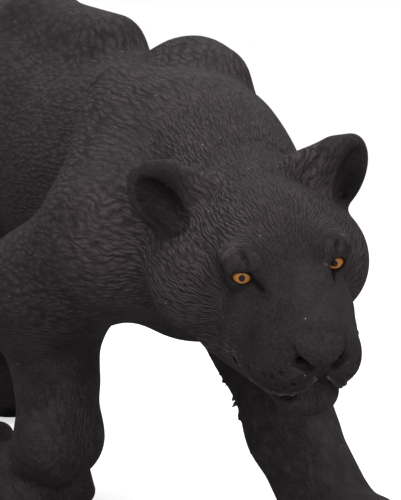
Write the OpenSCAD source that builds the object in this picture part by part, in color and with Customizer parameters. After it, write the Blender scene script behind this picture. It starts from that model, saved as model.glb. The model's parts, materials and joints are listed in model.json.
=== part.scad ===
// Figural television lamp: a stalking panther, cast hollow, with the lamp in its trunk.
// Millimetres. +X is toward the nose, +Y is the wall side, +Z is up, and the table is z = 0.

/* [Figure] */
// Width of the head across the cheeks
head_width = 66; // [62:1:70]
// Height of the middle of the head above the table
head_height = 108; // [105:1:112]
// Turn of the head away from the wall, in degrees
head_turn = 14; // [8:1:20]
// Nod of the head, in degrees
head_nod = 13; // [8:1:18]
// Lean of the head onto its right cheek, in degrees
head_lean = 6; // [2:1:10]
// Shoulder to hip
trunk_length = 200; // [194:1:212]
// Width of the trunk across the ribs
trunk_width = 80; // [76:1:88]
// Height of the rump above the table
rump_height = 200; // [196:1:206]
// How far the right legs stand out from the middle
leg_spread = 38; // [36:1:42]
// Reach of the tail behind the rump
tail_reach = 152; // [140:1:165]

/* [Castings] */
// Height of the joints that carry the legs
leg_joint = 60; // [57:1:62]
// Distance of the neck joint ahead of the shoulder
neck_joint = 47; // [45:1:49]
// Diameter of the steel dowels
dowel_d = 6; // [4:0.5:7]
// Length of the steel dowels
dowel_length = 30; // [24:1:34]
// Glue gap round a dowel
dowel_gap = 0.15; // [0.1:0.05:0.3]
// Thickness of the felt under each paw
felt = 2; // [1:0.5:3]
// Diameter of the felt under each paw
felt_d = 24; // [18:1:28]

/* [Chamber] */
// Height of the lamp chamber inside the trunk
chamber_height = 50; // [48:1:54]
// Width of the lamp chamber from its back wall
chamber_width = 50; // [46:1:52]
// Radius along the chamber's long corners
chamber_corner = 10; // [6:1:13]
// Length of the opening in the wall side
opening_length = 124; // [118:1:130]
// Height of the opening in the wall side
opening_height = 44; // [38:1:47]

/* [Bracket] */
// Height of the lamp's axis above the table
lamp_height = 139; // [136:1:142]
// Thickness of the steel strip
strip = 2; // [1.5:0.25:2.5]
// Width of the steel strip
strip_width = 20; // [16:1:22]
// Distance between the bracket's two screws
screw_pitch = 30; // [28:1:34]
// Screw size, M4
screw_d = 4; // [3:0.5:5]

/* [Lampholder] */
// Outside diameter of the lampholder
holder_d = 29; // [27:1:31]
// Depth of the lampholder from the bracket to its mouth
holder_length = 50; // [47:1:54]
// Outside diameter of the threaded pipe
pipe_d = 10; // [9:0.25:11]
// Diameter of the key switch's shaft
shaft_d = 4; // [3:0.25:5]
// Reach of the key switch's knob toward the wall
key_reach = 31; // [28:1:33]

/* [Lamp] */
// Diameter of the glass tube
bulb_d = 25; // [22:1:26]
// Overall length of the lamp with its cap
bulb_length = 85; // [80:1:88]
// Diameter of the screw cap
cap_d = 13.8; // [13:0.1:14.2]

/* [Inlet] */
// Bore of the cord bushing
inlet_bore = 7; // [6:0.25:8]
// Distance of the inlet ahead of the bracket
inlet_ahead = 46; // [40:1:54]

/* [Eyes] */
// Diameter of the glass eyes
eye_d = 9; // [8:0.25:9.5]
// Thickness of a glass eye from its flat back
eye_depth = 5.5; // [5:0.25:6.5]

/* [Hidden] */

// --- Flesh: masses that melt into each other, and the skin over them ---
level = [[1, 0, 0], [0, 1, 0], [0, 0, 1]];
corners = [for (c = [0:1], b = [0:1], a = [0:1]) [a, b, c]];
edges = [[0, 1], [2, 3], [4, 5], [6, 7], [0, 2], [1, 3], [4, 6], [5, 7], [0, 4], [1, 5], [2, 6], [3, 7]];

skim = 0.2;
// A mass is [kind, low corner, high corner, softness, ...]: a round-ended bone or an ellipsoid.
// One with a softness under zero is scooped out of the others.
function bone(a, b, ra, rb, soft) = let (r = max(ra, rb) * [1, 1, 1])
    ["bone", [for (i = [0:2]) min(a[i], b[i])] - r, [for (i = [0:2]) max(a[i], b[i])] + r,
        soft, a, b, ra, rb];
function blob(c, r, soft, axes = level) = ["blob", c - max(r) * [1, 1, 1], c + max(r) * [1, 1, 1],
    soft, c, r, axes];
function gap_to(m, p) = m[0] == "bone"
    ? let (ab = m[5] - m[4], q = p - m[4], t = max(0, min(1, q * ab / (ab * ab))))
        norm(q - t * ab) - m[6] - (m[7] - m[6]) * t
    : let (q = (p - m[4]) * m[6], r = m[5], u = [q.x / r.x, q.y / r.y, q.z / r.z], n = norm(u))
        n * (n - 1) / max(norm([u.x / r.x, u.y / r.y, u.z / r.z]), 0.001);
function melt(a, b, soft) = let (h = max(soft - abs(a - b), 0) / soft) min(a, b) - h * h * soft / 4;
function joined(d, gap, soft) = soft < 0 ? -melt(-d, gap, -soft) : melt(d, gap, soft);
// Distance from a point to the skin over the masses, less than zero inside
function skin_gap(masses, p, i = 0, d = 50) = i == len(masses) ? d
    : skin_gap(masses, p, i + 1, joined(d, gap_to(masses[i], p), masses[i][3]));
function near(masses, x, y, far) = [for (m = masses) let (s = abs(m[3]) + far)
    if (x > m[1].x - s && x < m[2].x + s && y > m[1].y - s && y < m[2].y + s) m];
// Which sides of the box a cell touches: those axes are cut flat
function flat_axes(g, n) = [for (a = [0:2]) if (g[a] == 0 || g[a] == n[a] - 1) a];
// The point moved onto the skin along its slope, by no more than far and never off a flat
function on_skin(masses, p, flats, far, e = 0.3) = let (
    slope = [for (a = [0:2]) len(search(a, flats)) > 0 ? 0
        : (skin_gap(masses, p + e * level[a]) - skin_gap(masses, p - e * level[a])) / 2 / e],
    move = slope * skin_gap(masses, p) / max(slope * slope, 0.05))
    p - move * min(1, far / max(norm(move), 0.001));
// A grid corner that lies outside between two inside ones, across from a third like it, would pinch the net
function pinches(gaps, c, d) = len([for (a = [0:2], u = [-1, 1], v = [-1, 1])
    let (p = c + u * level[a], q = c + v * level[(a + 1) % 3], r = p + q - c, across = gaps[r.x][r.y][r.z])
    if (gaps[p.x][p.y][p.z] < 0 && gaps[q.x][q.y][q.z] < 0 && across >= d) 1]) > 0;
function unpinched(gaps, n, step) = [for (i = [0:n.x]) [for (j = [0:n.y]) [for (k = [0:n.z])
    let (d = gaps[i][j][k]) d > 0 && d < step && pinches(gaps, [i, j, k], d) ? -0.05 * step : d]]];

// The skin as a closed net on a grid, cut flat and true where it meets the sides of the box.
// The grid's outermost layers are only a skim thick, so each cut has the outline that the masses have there.
module skin(masses, low, high, step) {
    n = [for (a = [0:2]) ceil((high[a] - low[a]) / step) + 2];
    inner = [for (a = [0:2]) (high[a] - low[a] - 2 * skim) / (n[a] - 2)];
    stops = [for (a = [0:2]) [low[a], for (i = [0:n[a] - 2]) low[a] + skim + inner[a] * i, high[a]]];
    first = [for (i = [0:n.x]) [for (j = [0:n.y])
        let (x = stops.x[i], y = stops.y[j], ms = near(masses, x, y, 2 * step))
        [for (k = [0:n.z])
            let (d = skin_gap(ms, [x, y, stops.z[k]]), rim = i % n.x == 0 || j % n.y == 0 || k % n.z == 0)
            rim ? max(d, step) : d]]];
    gaps = unpinched(unpinched(first, n, step), n, step);
    cut = [for (i = [0:n.x - 1], j = [0:n.y - 1], k = [0:n.z - 1])
        let (within = len([for (c = corners) if (gaps[i + c.x][j + c.y][k + c.z] < 0) 1]))
        within > 0 && within < 8 ? 1 : 0];
    number = [for (q = 0, t = 0; q < len(cut); t = t + cut[q], q = q + 1) t];
    points = [for (i = [0:n.x - 1], j = [0:n.y - 1], k = [0:n.z - 1]) if (cut[(i * n.y + j) * n.z + k] == 1)
        let (g = [i, j, k], w = [for (c = corners) gaps[i + c.x][j + c.y][k + c.z]], flats = flat_axes(g, n),
            hits = [for (q = [0:11]) let (e = edges[q], a = w[e[0]], b = w[e[1]]) if ((a < 0) != (b < 0))
                [floor(q / 4), corners[e[0]] + (corners[e[1]] - corners[e[0]]) * a / (a - b)]],
            true_hits = [for (h = hits) if (len(search(h[0], flats)) == 0) h],
            used = [for (h = len(true_hits) > 0 ? true_hits : hits) h[1]],
            at = [for (h = used) 1] * used / len(used),
            p = [for (a = [0:2]) len(search(a, flats)) > 0 ? (g[a] == 0 ? low[a] : high[a])
                : stops[a][g[a]] + (stops[a][g[a] + 1] - stops[a][g[a]]) * at[a]])
        len(true_hits) > 0 ? on_skin(near(masses, p.x, p.y, 1), p, flats, step / 2) : p];
    faces = [for (i = [0:n.x - 1], j = [0:n.y - 1], k = [0:n.z - 1], a = [0:2])
        let (g = [i, j, k], e = level[a], s = level[(a + 1) % 3], t = level[(a + 2) % 3], h = g + e,
            inside = gaps[i][j][k] < 0)
        if (inside != (gaps[h.x][h.y][h.z] < 0) && g * s > 0 && g * t > 0)
            let (q = [for (c = [g, g - s, g - s - t, g - t]) number[(c.x * n.y + c.y) * n.z + c.z]],
                f = inside ? [q[3], q[2], q[1], q[0]] : q,
                short = norm(points[f[0]] - points[f[2]]) < norm(points[f[1]] - points[f[3]]))
            each short ? [[f[0], f[1], f[2]], [f[0], f[2], f[3]]] : [[f[1], f[2], f[3]], [f[1], f[3], f[0]]]];
    polyhedron(points, faces, convexity = 8);
}

// --- The panther's masses ---
hip = -trunk_length;
rib = trunk_width / 2;
right = -leg_spread;
left = leg_spread;
left_fore = leg_spread - 11;
left_heel = leg_spread - 8;
withers = 168;
sole = felt;
trunk_masses = [
    blob([-60, 0, 128], [84, rib + 1, 46], 14),
    blob([hip + 70, 0, 146], [64, rib - 2, 44], 20),
    blob([hip + 4, 0, rump_height - 48], [48, rib, 42], 20),
    blob([6, 0, 115], [42, rib - 3, 44], 16),
    bone([hip, 0, rump_height - 14], [hip + 72, 2, rump_height - 12], 14, 13, 14),
    bone([hip + 72, 2, rump_height - 12], [-65, 3, withers + 10], 13, 13, 14)
];
neck_masses = [bone([2, -2, 132], [44, -9, head_height + 4], 35, 30, 16)];
right_shoulder = [
    bone([-11, right + 16, withers - 8], [14, right + 3, 116], 11, 25, 12),
    bone([14, right + 3, 112], [-34, right - 3, 88], 25, 24, 12)
];
right_fore = [
    bone([-34, right - 3, 86], [-32, right, 56], 24, 15.2, 9),
    bone([-32, right, 56], [-30, right, 34], 15.2, 15.8, 6),
    bone([-30, right, 34], [-54, right, 15], 15.8, 14, 6)
];
left_shoulder = [
    bone([-36, left_fore - 10, withers - 2], [-12, left_fore - 8, withers - 3], 13, 12, 10),
    bone([-28, left_fore - 8, withers - 4], [-4, left_fore - 1, 112], 14, 23, 12),
    bone([-2, left_fore, 108], [6, left_fore + 1, 72], 24, 20, 12)
];
left_reach = [
    bone([6, left_fore + 1, 72], [27, left_fore, 40], 19, 16, 9),
    bone([27, left_fore, 40], [50, left_fore - 1, 20], 16, 16, 6)
];
right_thigh = [bone([hip - 4, right + 14, 156], [hip + 32, right, 104], 32, 28, 14)];
right_hind = [
    bone([hip + 32, right, 104], [hip + 40, right, 56], 24, 16, 9),
    bone([hip + 40, right, 56], [hip + 54, right, 20], 14, 14, 8)
];
left_thigh = [bone([hip - 6, left - 14, 156], [hip - 8, left, 104], 32, 28, 14)];
left_hind = [
    bone([hip - 8, left, 104], [hip - 52, left_heel, 62], 22, 14, 9),
    bone([hip - 52, left_heel, 62], [hip - 45, left_heel, 20], 13, 14, 8)
];

// Paws: the middle of each, with the toes ahead of it
right_fore_paw = [-63, right, 10];
left_fore_paw = [68, left_fore - 1, 11];
right_hind_paw = [hip + 67, right, 10];
left_hind_paw = [hip - 32, left_heel, 10];
fore_paw = [28, 20, 16];
hind_paw = [25, 18, 14];
toe_pitch = 9.5;
toe_r = 7.2;

function paw_masses(at, size) = concat([blob(at, size, 6)],
    [for (i = [-1.5:1:1.5]) let (knuckle = at + [size.x - 11 - i * i, i * toe_pitch, 6 - abs(i)])
        bone(knuckle, at + [size.x - 2 - 2 * i * i, i * toe_pitch, -1], toe_r, toe_r - 1.2, 3)]);

// Dowel places: where the legs, the neck and the tail meet the trunk
leg_dowel_at = [[-32, right - 1, 0], [14, left_fore, 0], [hip + 39, right, 0], [hip - 46, left_heel + 1, 0]];
neck_dowel_at = [for (s = [-1, 1]) [neck_joint, -4, head_height + 4 + 12 * s]];
half_dowel = dowel_length / 2;

// The tail's line, from t = 0 inside the rump to t = 1 at its tip
tail_root = hip - 36;
function tail_at(t) = [tail_root - tail_reach * (0.62 * t + 0.38 * t * t), -14 * sin(150 * t),
    rump_height - 38 - 52 * (1 - cos(180 * min(1, 1.15 * t))) + 130 * pow(max(0, t - 0.7), 2)];
function tail_r(t) = 13.5 - 5.5 * min(1, 4 * t) - 1.2 * t;
tail_tip = tail_root - tail_reach - tail_r(1);
tail_t = 0.115;
tail_dowel_at = tail_at(tail_t);
tail_joint = tail_dowel_at.x;
tail_way = tail_at(tail_t - 0.08) - tail_at(tail_t + 0.08);
rump_point = [bone([hip - 20, 0, rump_height - 34], tail_dowel_at - [4, 0, 1], 18, tail_r(tail_t) + 1.5, 14)];

module dowel(gap = 0) { cylinder(d = dowel_d + 2 * gap, h = dowel_length, $fn = 32); }
module at_leg_dowels() {
    for (p = leg_dowel_at)
        translate([p.x, p.y, leg_joint - half_dowel]) children();
}
module at_neck_dowels() {
    for (p = neck_dowel_at)
        translate([p.x - half_dowel, p.y, p.z]) rotate([0, 90, 0]) children();
}
module at_tail_dowel() {
    translate(tail_dowel_at) rotate([0, acos(tail_way.z / norm(tail_way)), atan2(tail_way.y, tail_way.x)])
        translate([0, 0, -half_dowel]) children();
}

// Flat that the tail's casting is glued to
module tail_seat() {
    translate(tail_dowel_at) rotate([0, -90, 0]) cylinder(r = tail_r(tail_t) + 7, h = 40, $fn = 64);
}

// --- The chamber for the lamp, and what is fixed in it ---
tab_x = hip + 36;
lamp_at = [tab_x, 0, lamp_height];
travel = 28;
contact_s = 32;
chamber_rear = tab_x - 14;
chamber_front = tab_x + contact_s + bulb_length + travel + 5;
chamber_back = -rib + 16;
opening_at = [tab_x + 62, 0, lamp_height];
plate_y = chamber_back;
screws_x = tab_x + 58;
insert_d = screw_d + 2;
insert_length = 8;
slide = 0.05;
inlet_seat = 96;
inlet_at = [tab_x + inlet_ahead, 3, inlet_seat];
floor_z = lamp_height - chamber_height / 2;
bushing_d = inlet_bore + 5.7;
flange_d = bushing_d + 5;

module chamber() {
    w = chamber_width;
    translate([chamber_rear, chamber_back, lamp_height]) rotate([90, 0, 90])
        linear_extrude(chamber_front - chamber_rear) translate([w / 2, 0]) {
            square([w, chamber_height - 2 * chamber_corner], center = true);
            square([w - 2 * chamber_corner, chamber_height], center = true);
            for (x = [-1, 1], z = [-1, 1])
                translate([x * (w / 2 - chamber_corner), z * (chamber_height / 2 - chamber_corner)])
                    circle(r = chamber_corner, $fn = 48);
        }
}

module opening() {
    run = opening_length - opening_height;
    translate(opening_at) rotate([-90, 0, 0]) linear_extrude(80) {
        square([run, opening_height], center = true);
        for (x = [-1, 1]) translate([x * run / 2, 0]) circle(d = opening_height, $fn = 64);
    }
}

module trunk_casting() {
    color([0.24, 0.22, 0.24]) difference() {
        skin(trunk_skin, [tail_joint - 30, -82, leg_joint], [neck_joint, 82, rump_height + 22], 9.4);
        tail_seat();
        chamber();
        opening();
        for (s = [-1, 1])
            translate([screws_x + s * screw_pitch / 2, plate_y - insert_length, lamp_height])
                rotate([-90, 0, 0]) cylinder(d = insert_d + 2 * slide, h = insert_length + 1, $fn = 32);
        translate(inlet_at - [0, 0, 1])
            cylinder(d = bushing_d + 2 * slide, h = floor_z - inlet_seat + 2, $fn = 48);
        translate(inlet_at - [0, 0, 30]) cylinder(d = flange_d + 2, h = 30, $fn = 48);
        at_leg_dowels() dowel(dowel_gap);
        at_neck_dowels() dowel(dowel_gap);
        at_tail_dowel() dowel(dowel_gap);
    }
}

module leg_casting(masses, paw, size, step) {
    all = concat(masses, paw_masses(paw, size));
    low = [for (i = [0:1]) min([for (m = all) m[1][i]]) - 2 * step];
    high = [for (i = [0:1]) max([for (m = all) m[2][i]]) + 2 * step];
    difference() {
        skin(all, [low.x, low.y, sole], [high.x, high.y, leg_joint], step);
        at_leg_dowels() dowel(dowel_gap);
    }
}

module right_foreleg() { color([0.17, 0.15, 0.16]) leg_casting(right_fore, right_fore_paw, fore_paw, 4.8); }
module left_foreleg() { color([0.20, 0.18, 0.19]) leg_casting(left_reach, left_fore_paw, fore_paw, 4.8); }
module right_hindleg() { color([0.18, 0.16, 0.17]) leg_casting(right_hind, right_hind_paw, hind_paw, 5.6); }
module left_hindleg() { color([0.18, 0.16, 0.17]) leg_casting(left_hind, left_hind_paw, hind_paw, 5.6); }

// --- The tail: a chain of rounds along its line ---
tail_n = 14;

module tail_casting() {
    color([0.20, 0.18, 0.20]) difference() {
        intersection() {
            union() for (i = [0:tail_n - 1])
                hull() {
                    translate(tail_at(i / tail_n)) sphere(r = tail_r(i / tail_n), $fn = 14);
                    translate(tail_at((i + 1) / tail_n)) sphere(r = tail_r((i + 1) / tail_n), $fn = 14);
                }
            translate([tail_joint - 400, -100, 0]) cube([400, 200, 300]);
        }
        at_tail_dowel() dowel(dowel_gap);
    }
}

// --- The head: masses in units of half its width, on axes that turn with it ---
unit = head_width / 2;
// Middle of the head, so far ahead of the neck's joint that the ears stay on the head's side of it
head_at = [neck_joint + 19 / 33 * unit, -10, head_height];
function spun(yaw, nod, lean) =
    [[cos(yaw), -sin(yaw), 0], [sin(yaw), cos(yaw), 0], [0, 0, 1]]
    * [[cos(nod), 0, sin(nod)], [0, 1, 0], [-sin(nod), 0, cos(nod)]]
    * [[1, 0, 0], [0, cos(lean), -sin(lean)], [0, sin(lean), cos(lean)]];
head_axes = spun(-head_turn, head_nod, head_lean);
function in_head(p) = head_at + head_axes * (p * unit);
function head_bone(a, b, ra, rb, soft) = bone(in_head(a), in_head(b), ra * unit, rb * unit, soft * unit);
function head_blob(c, r, soft, yaw = 0, nod = 0, lean = 0) =
    blob(in_head(c), r * unit, soft * unit, head_axes * spun(yaw, nod, lean));
module on_head() {
    translate(head_at) rotate([head_lean, head_nod, -head_turn]) children();
}

head_masses = concat([
    head_blob([0.02, 0, 0.20], [0.86, 0.74, 0.60], 0.20),
    head_blob([-0.55, 0, 0.05], [0.60, 0.70, 0.66], 0.30),
    head_blob([0.52, 0, 0.36], [0.42, 0.42, 0.26], 0.20, 0, 25),
    head_bone([0.65, 0, 0.20], [1.46, 0, -0.20], 0.30, 0.22, 0.18),
    head_blob([1.30, 0, -0.90], [0.27, 0.28, 0.20], 0.07, 0, -8),
    head_blob([1.62, 0, -0.32], [0.16, 0.25, 0.15], 0.08, 0, 20)
], [for (s = [-1, 1]) each [
    head_blob([-0.05, 0.58 * s - 0.04, -0.11], [0.62, 0.54, 0.58], 0.25),
    head_blob([0.74, 0.40 * s, -0.36], [0.34, 0.24, 0.30], 0.16),
    head_blob([0.72, 0.38 * s, 0.34], [0.24, 0.24, 0.12], 0.14, 10 * s, 20),
    head_bone([0.80, 0.20 * s, -0.10], [1.35, 0.18 * s, -0.40], 0.32, 0.28, 0.20),
    head_blob([1.36, 0.24 * s, -0.51], [0.36, 0.25, 0.26], 0.08, -14 * s),
    head_bone([1.20, 0.34 * s, -0.60], [0.80, 0.50 * s, -0.57], 0.17, 0.16, 0.14),
    head_bone([1.15, 0.12 * s, -0.84], [0.20, 0.44 * s, -0.60], 0.20, 0.30, 0.14),
    head_blob([-0.17, 0.89 * s - 0.03, 0.675 + 0.015 * s], [0.15, 0.33, 0.44], 0.12, 25 * s, 0, -42 * s),
    head_bone([-0.20, 0.80 * s - 0.02, 0.92 + 0.02 * s], [-0.25, 0.46 * s - 0.04, 0.75 + 0.05 * s],
        0.12, 0.14, 0.14),
    head_blob([-0.04, 0.99 * s - 0.01, 0.67 + 0.04 * s], [0.17, 0.19, 0.34], -0.05, 25 * s, 0, -42 * s)
]]);

nose_tip = head_at.x + 1.62 * unit;
middle = [(nose_tip + tail_tip) / 2, 0, 0];
head_skin = concat(trunk_masses, neck_masses, head_masses);
trunk_skin = concat(trunk_masses, rump_point, neck_masses, right_shoulder, left_shoulder, right_thigh,
    left_thigh, [right_fore[0], left_reach[0], right_hind[0], left_hind[0]], head_masses);

iris_t = 0.6;
eye_turn = 12;
module at_eye(s) {
    on_head() translate([0.755, 0.45 * s, 0.155] * unit) rotate([0, 0, eye_turn * s])
        rotate([0, 90, 0]) children();
}

module head_casting() {
    color([0.20, 0.18, 0.20]) difference() {
        skin(head_skin, [neck_joint, -60, 44],
            [head_at.x + 2.2 * unit, 44, head_height + 72], 3.75);
        for (s = [-1, 1])
            at_eye(s) translate([0, 0, -iris_t]) cylinder(d = eye_d + 2 * slide, h = 14, $fn = 48);
        at_neck_dowels() dowel(dowel_gap);
    }
}

module eye_glass(s) {
    rim = 2;
    bow = eye_depth - rim;
    r = (pow(eye_d / 2, 2) + bow * bow) / 2 / bow;
    color([0.9, 0.62, 0.18, 0.6]) at_eye(s) rotate_extrude($fn = 64) {
        square([eye_d / 2, rim]);
        intersection() {
            translate([0, eye_depth - r]) circle(r = r, $fn = 64);
            translate([0, rim]) square([eye_d / 2, bow]);
        }
    }
}

module right_eye_glass() { eye_glass(-1); }
module left_eye_glass() { eye_glass(1); }

module iris_discs() {
    color([0.85, 0.55, 0.12]) for (s = [-1, 1])
        at_eye(s) translate([0, 0, -iris_t]) cylinder(d = eye_d, h = iris_t, $fn = 48);
}

// --- Dowels and felts ---
module leg_dowels() { color("silver") at_leg_dowels() dowel(); }
module neck_dowels() { color("silver") at_neck_dowels() dowel(); }
module tail_dowel() { color("silver") at_tail_dowel() dowel(); }

module paw_felts() {
    color([0.12, 0.12, 0.13]) for (p = [right_fore_paw, left_fore_paw, right_hind_paw, left_hind_paw])
        translate([p.x + 2, p.y, 0]) cylinder(d = felt_d, h = felt, $fn = 48);
}

// --- Bracket: one strip of steel, bent to carry the lampholder along the trunk ---
module along_lamp(s = 0) { translate(lamp_at + [s, 0, 0]) rotate([0, 90, 0]) children(); }
module at_screws(y) {
    for (s = [-1, 1])
        translate([screws_x + s * screw_pitch / 2, y, lamp_height]) rotate([-90, 0, 0]) children();
}
tab_reach = 11;
end_r = strip_width / 2;

module strip_profile() {
    bend = 2 * strip;
    arm = screws_x + screw_pitch / 2 - tab_x + strip;
    translate([bend, 0]) square([arm - bend, strip]);
    translate([0, bend]) square([strip, tab_reach - plate_y - bend]);
    intersection() {
        square(bend);
        translate([bend, bend]) difference() {
            circle(r = bend, $fn = 48);
            circle(r = bend - strip, $fn = 48);
        }
    }
}

module bracket() {
    color([0.62, 0.62, 0.6]) difference() {
        union() {
            translate([tab_x - strip, plate_y, lamp_height - end_r])
                linear_extrude(strip_width) strip_profile();
            translate([screws_x + screw_pitch / 2, plate_y, lamp_height]) rotate([-90, 0, 0])
                cylinder(r = end_r, h = strip, $fn = 64);
        }
        at_screws(plate_y - 1) cylinder(d = screw_d + 0.5, h = strip + 2, $fn = 32);
        along_lamp(-strip - 1) cylinder(d = pipe_d + 2 * slide, h = strip + 2, $fn = 48);
    }
}

module threaded_inserts() {
    color([0.8, 0.65, 0.3]) at_screws(plate_y - insert_length) difference() {
        cylinder(d = insert_d, h = insert_length, $fn = 32);
        translate([0, 0, -1]) cylinder(d = screw_d + 2 * slide, h = insert_length + 2, $fn = 32);
    }
}

module bracket_screws() {
    head_h = 2.4;
    color([0.75, 0.75, 0.73]) at_screws(plate_y + strip) difference() {
        union() {
            translate([0, 0, -strip - 6.5]) cylinder(d = screw_d, h = strip + 6.5, $fn = 32);
            cylinder(d = 2 * screw_d, h = head_h, $fn = 32);
        }
        translate([-screw_d, -0.5, head_h - 1.1]) cube([2 * screw_d, 1, 2]);
    }
}

// --- Threaded pipe, washer and nut that hold the lampholder to the bracket ---
pipe_in = 9;
washer_t = 1;
nut_t = 3;

module threaded_pipe() {
    rear = strip + washer_t + nut_t + 2;
    color([0.8, 0.68, 0.35]) along_lamp(-rear) difference() {
        cylinder(d = pipe_d, h = rear + pipe_in - 0.2, $fn = 48);
        translate([0, 0, -1]) cylinder(d = pipe_d - 3, h = 40, $fn = 48);
    }
}

module pipe_washer() {
    color([0.6, 0.6, 0.58]) along_lamp(-strip - washer_t) difference() {
        cylinder(d = pipe_d + 6, h = washer_t, $fn = 48);
        translate([0, 0, -1]) cylinder(d = pipe_d + 2 * slide, h = washer_t + 2, $fn = 48);
    }
}

module pipe_nut() {
    color([0.8, 0.68, 0.35]) along_lamp(-strip - washer_t - nut_t) difference() {
        cylinder(d = pipe_d + 6, h = nut_t, $fn = 6);
        translate([0, 0, -1]) cylinder(d = pipe_d + 2 * slide, h = nut_t + 2, $fn = 48);
    }
}

// --- Lampholder with a key switch on its side ---
holder_r = holder_d / 2;
chamber_r = holder_r - 3.5;
shell_in = cap_d / 2 + 0.08;
shell_out = shell_in + 0.55;
base_s = 30;
key_s = 19;
boss_end = holder_r + 3;

module holder_cap() {
    color([0.13, 0.09, 0.07]) along_lamp() rotate_extrude($fn = 96)
        polygon([[pipe_d / 2 + slide, 0], [8.5, 0], [8.5, 3], [holder_r, 9], [holder_r, 14],
            [chamber_r + 1.55, 14], [chamber_r + 1.55, 11], [chamber_r, 11], [chamber_r, 9],
            [pipe_d / 2 + slide, 9]]);
}

module holder_body() {
    color([0.13, 0.09, 0.07]) difference() {
        union() {
            along_lamp() rotate_extrude($fn = 96)
                polygon([[chamber_r, 11], [chamber_r + 1.5, 11], [chamber_r + 1.5, 14], [holder_r, 14],
                    [holder_r, 36], [shell_out + 3.5, 39], [shell_out + 3.5, holder_length],
                    [shell_out + slide, holder_length], [shell_out + slide, base_s], [1.55, base_s],
                    [1.55, 24], [chamber_r, 24]]);
            translate(lamp_at + [key_s, chamber_r + 1, 0]) rotate([-90, 0, 0])
                cylinder(r = 4.5, h = boss_end - chamber_r - 1, $fn = 48);
        }
        translate(lamp_at + [key_s, 0, 0]) rotate([-90, 0, 0])
            cylinder(d = shaft_d + 2 * slide, h = boss_end + 1, $fn = 48);
        for (s = [-1, 1])
            along_lamp(23) translate([6.5 * s, 0, 0]) cylinder(d = 3.1, h = 6, $fn = 32);
    }
}

module screw_shell() {
    color([0.85, 0.7, 0.35]) along_lamp(base_s) difference() {
        cylinder(r = shell_out, h = holder_length - base_s - 0.5, $fn = 96);
        translate([0, 0, -1]) cylinder(r = shell_in, h = holder_length, $fn = 96);
    }
}

module centre_contact() {
    color([0.85, 0.7, 0.35]) along_lamp() rotate_extrude($fn = 48)
        polygon([[0, 23.4], [2.6, 23.4], [2.6, 24], [1.5, 24], [1.5, base_s], [3.4, base_s],
            [3.4, base_s + 0.6], [2.2, contact_s], [0, contact_s]]);
}

module terminal_screws() {
    color([0.85, 0.7, 0.35]) for (s = [-1, 1])
        along_lamp() translate([6.5 * s, 0, 0]) difference() {
            union() {
                translate([0, 0, 21.8]) cylinder(d = 5.4, h = 2.2, $fn = 32);
                translate([0, 0, 24]) cylinder(d = 3, h = 5, $fn = 32);
            }
            translate([-3, -0.4, 21]) cube([6, 0.8, 1.7]);
        }
}

module along_key(y = 0) { translate(lamp_at + [key_s, y, 0]) rotate([-90, 0, 0]) children(); }
cam = 5.6;

module key_shaft() {
    color([0.7, 0.7, 0.68]) {
        along_key(-6) cylinder(d = shaft_d, h = key_reach + 5, $fn = 48);
        along_key(-4) translate([-cam / 2, -cam / 2, 0]) cube([cam, cam, 6]);
    }
}

module key_knob() {
    hub = key_reach - boss_end - 10;
    color([0.13, 0.09, 0.07]) difference() {
        union() {
            along_key(boss_end + 2) cylinder(r = 5.5, h = hub + 2, $fn = 48);
            along_key(boss_end + 2 + hub) linear_extrude(8) {
                square([11, 5], center = true);
                for (s = [-1, 1]) translate([5.5 * s, 0]) circle(r = 3.2, $fn = 32);
            }
        }
        along_key() cylinder(d = shaft_d, h = key_reach - 1, $fn = 48);
    }
}

// --- Lamp: tubular, with its cap's tip on the centre contact ---
cap_r = cap_d / 2;
neck_r = cap_r + 0.8;
glass_t = 0.9;
neck_from = 22.4;
module along_bulb() { along_lamp(contact_s) children(); }

module glass_outline(r, dome_at, top) {
    translate([0, neck_from]) square([r - bulb_d / 2 + neck_r, 6]);
    polygon([[0, 28], [r - bulb_d / 2 + neck_r, 28], [r, 34], [r, dome_at], [0, dome_at]]);
    intersection() {
        translate([0, top - r]) circle(r = r, $fn = 64);
        translate([0, dome_at]) square([r, top - dome_at]);
    }
}

module bulb_glass() {
    r = bulb_d / 2;
    color([0.95, 0.93, 0.88, 0.4]) along_bulb() rotate_extrude($fn = 96) difference() {
        glass_outline(r, bulb_length - r, bulb_length);
        translate([0, -0.01]) glass_outline(r - glass_t, bulb_length - r, bulb_length - glass_t);
    }
}

module bulb_cap() {
    color([0.8, 0.75, 0.6]) along_bulb() rotate_extrude($fn = 96)
        polygon([[cap_r - 0.5, 4.6], [cap_r, 4.6], [cap_r, 19.5], [neck_r + 0.6, 22], [neck_r + 0.6, 25.5],
            [neck_r + 0.05, 25.5], [neck_r + 0.05, 22.4], [cap_r - 0.5, 19.8]]);
}

module bulb_insulator() {
    color([0.08, 0.08, 0.09]) along_bulb() rotate_extrude($fn = 64)
        polygon([[0, 1.6], [3.2, 1.6], [cap_r - 0.4, 4.6], [cap_r - 0.55, 4.6], [cap_r - 0.55, 7], [0, 7]]);
}

module bulb_contact() {
    color([0.7, 0.7, 0.7]) along_bulb() rotate_extrude($fn = 48)
        polygon([[0, 0], [1.5, 0], [2.4, 0.7], [2.4, 1.6], [0, 1.6]]);
}

stem_top = 38;
module bulb_stem() {
    color([0.9, 0.9, 0.88, 0.5]) along_bulb() {
        translate([0, 0, neck_from]) cylinder(r = neck_r - glass_t, h = 1.2, $fn = 64);
        translate([0, 0, neck_from]) cylinder(r = 2.4, h = stem_top - neck_from, $fn = 48);
    }
}

module bulb_filament() {
    lead = 0.35;
    out = 1.6;
    color([0.35, 0.33, 0.3]) along_bulb() {
        for (s = [-1, 1])
            translate([0, out * s, stem_top])
                cylinder(r = lead, h = bulb_length - stem_top - 21, $fn = 16);
        translate([0, -out - lead, bulb_length - 22]) rotate([-90, 0, 0])
            cylinder(r = lead, h = 2 * (out + lead), $fn = 16);
    }
}

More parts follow.
